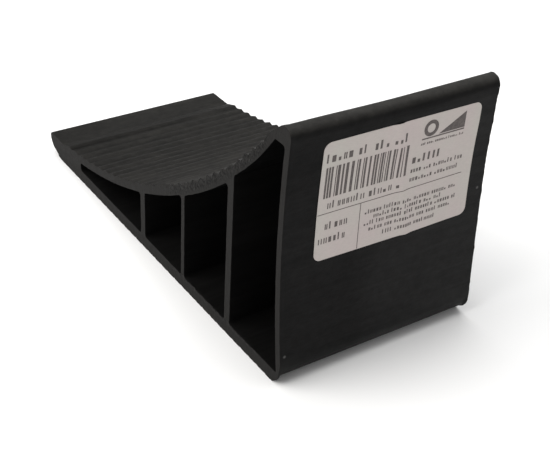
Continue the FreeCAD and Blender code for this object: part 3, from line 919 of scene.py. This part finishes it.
def sawn_plastic():
    """The cut ends: torn by the saw, so greyer and rougher, with fine tooth marks and chipped pits."""
    material, nodes, links, shader = new_material("sawn_black_plastic")
    marks = noise_value(nodes, links, (1100, 1100, 260), 4.0, 0.65)
    patches = noise_value(nodes, links, (420, 420, 420), 5.0, 0.7)
    colour = ramp(nodes, links, patches, [(0.32, CUT_DARK), (0.68, CUT_PALE)])
    colour = times(nodes, links, colour, ramp(nodes, links, marks, [(0.35, 0.92), (0.68, 1.08)]))
    chips = noise_value(nodes, links, (1000, 1000, 1000), 2.0, 0.6)
    chipped = ramp(nodes, links, chips, [(0.43, 0.3), (0.51, 1), (0.58, 1), (0.66, 1.7)])
    tear = attribute(nodes, "torn")
    colour = mixed(nodes, links, tear, colour, times(nodes, links, colour, chipped))
    links.new(colour, shader.inputs["Base Color"])
    rough = ramp(nodes, links, patches, [(0.3, 0.62), (0.7, 0.85)])
    links.new(rough, shader.inputs["Roughness"])
    shader.inputs["Specular IOR Level"].default_value = CUT_SPECULAR
    relief = maths(nodes, links, "ADD", marks, patches)
    pits = maths(nodes, links, "MULTIPLY", tear, maths(nodes, links, "MULTIPLY", chips, 6.0))
    add_bump(nodes, links, shader, maths(nodes, links, "ADD", relief, pits), 0.1 * MM)
    return material


def shaded_cell_wall():
    """Inside the cells the plastic is painted darker than the skin as shade, and darker still on the faces
    that look down, with faint draw lines along Y.
    """
    material, nodes, links, shader = new_material("cell_wall_plastic_painted_shade")
    streaks = noise_value(nodes, links, (700, 18, 700), 3.0, 0.5)
    clouds = noise_value(nodes, links, (90, 45, 90), 3.0, 0.6)
    colour = ramp(nodes, links, clouds, [(0.3, CELL_SHADE_DARK), (0.7, CELL_SHADE_PALE)])
    # painted shade on the cells' ceilings
    colour = mixed(nodes, links, facing_down(nodes, links), colour, CELL_CEILING_SHADE)
    colour = times(nodes, links, colour, ramp(nodes, links, streaks, [(0.35, 0.85), (0.7, 1.15)]))
    links.new(colour, shader.inputs["Base Color"])
    rough = ramp(nodes, links, streaks, [(0.3, 0.66), (0.75, 0.8)])
    links.new(rough, shader.inputs["Roughness"])
    shader.inputs["Specular IOR Level"].default_value = CELL_SPECULAR
    add_bump(nodes, links, shader, streaks, 0.08 * MM)
    return material


def label_stock():
    """Uncoated paper, faintly blotched and a little grubby."""
    material, nodes, links, shader = new_material("label_stock")
    blotches = noise_value(nodes, links, (90, 90, 60), 3.0, 0.5)
    fibre = noise_value(nodes, links, (2500, 900, 2500), 4.0, 0.6)
    base = ramp(nodes, links, blotches, [(0.35, PAPER_WARM), (0.65, PAPER_COOL)])
    tone = ramp(nodes, links, fibre, [(0.3, 0.94), (0.7, 1.03)])
    links.new(times(nodes, links, base, tone), shader.inputs["Base Color"])
    rough = ramp(nodes, links, fibre, [(0.3, 0.6), (0.7, 0.78)])
    links.new(rough, shader.inputs["Roughness"])
    shader.inputs["Specular IOR Level"].default_value = PAPER_SPECULAR
    add_bump(nodes, links, shader, fibre, 0.03 * MM)
    return material


def label_ink():
    """Thermal print, slightly patchy and brownish."""
    material, nodes, links, shader = new_material("label_ink")
    patches = noise_value(nodes, links, (1200, 1200, 1200), 3.0, 0.6)
    base = ramp(nodes, links, patches, [(0.35, INK_DARK), (0.7, INK_PALE)])
    links.new(base, shader.inputs["Base Color"])
    rough = ramp(nodes, links, patches, [(0.3, 0.55), (0.7, 0.75)])
    links.new(rough, shader.inputs["Roughness"])
    return material


def pale_floor():
    """Plain studio floor."""
    material, nodes, links, shader = new_material("pale_floor")
    cloud = noise_value(nodes, links, (3, 3, 3), 2.0, 0.5)
    base = ramp(nodes, links, cloud, [(0.3, FLOOR_DARK), (0.7, FLOOR_PALE)])
    links.new(base, shader.inputs["Base Color"])
    shader.inputs["Roughness"].default_value = 0.8
    shader.inputs["Specular IOR Level"].default_value = FLOOR_SPECULAR
    return material


# ---------------------------------------------------------------- stage, lights and camera

def build_floor():
    """A flat floor that takes the shadow. It is no part of the object."""
    half = 3.0
    corners = [(-half, -half, 0), (half, -half, 0), (half, half, 0), (-half, half, 0)]
    mesh = bpy.data.meshes.new("floor")
    mesh.from_pydata(corners, [], [(0, 1, 2, 3)])
    mesh.materials.append(pale_floor())
    floor = bpy.data.objects.new("floor", mesh)
    bpy.context.scene.collection.objects.link(floor)


def add_softbox(name, place, target, side, power, tint):
    """A square area light, in metres and watts."""
    data = bpy.data.lights.new(name, "AREA")
    data.shape = "RECTANGLE"
    data.size, data.size_y = side, side
    data.energy = power
    data.color = tint
    light = bpy.data.objects.new(name, data)
    light.location = place
    light.rotation_euler = (Vector(target) - Vector(place)).to_track_quat("-Z", "Y").to_euler()
    bpy.context.scene.collection.objects.link(light)


def build_lights():
    """A large soft key light in front of the sawn face, another one above, and an even white world."""
    target = (0.0, 0.0, 0.03)
    add_softbox("key_softbox", (-0.3, -1.15, 1.0), target, 1.4, 24, (1.0, 0.985, 0.965))
    add_softbox("top_softbox", (-0.3, 0.2, 1.4), target, 1.6, 16, (1.0, 1.0, 1.0))
    world = bpy.data.worlds.new("studio")
    world.use_nodes = True
    background = world.node_tree.nodes["Background"]
    background.inputs["Color"].default_value = (1.0, 1.0, 1.0, 1.0)
    background.inputs["Strength"].default_value = 0.5
    bpy.context.scene.world = world
    bpy.context.scene.view_settings.view_transform = "Standard"


CAMERA_PLACE = Vector((0.30039, -0.19440, 0.23367))
CAMERA_TARGET = Vector((0.02410, -0.00061, 0.01356))
CAMERA_ROLL = math.radians(3.376)
CAMERA_LENS = 74.865
SENSOR_WIDTH = 36.0


def build_camera():
    """A view of the heel plate and the front cut, looking down about 33 degrees through a long lens."""
    data = bpy.data.cameras.new("camera")
    data.lens = CAMERA_LENS
    data.sensor_width = SENSOR_WIDTH
    data.clip_start = 0.01
    camera = bpy.data.objects.new("camera", data)
    aim = (CAMERA_TARGET - CAMERA_PLACE).to_track_quat("-Z", "Y").to_matrix()
    turned = aim @ Matrix.Rotation(CAMERA_ROLL, 3, "Z")
    camera.matrix_world = Matrix.Translation(CAMERA_PLACE) @ turned.to_4x4()
    bpy.context.scene.collection.objects.link(camera)
    bpy.context.scene.camera = camera


build_moulding()
build_label_paper(label_stock())
build_label_print(label_ink())
build_floor()
build_lights()
build_camera()
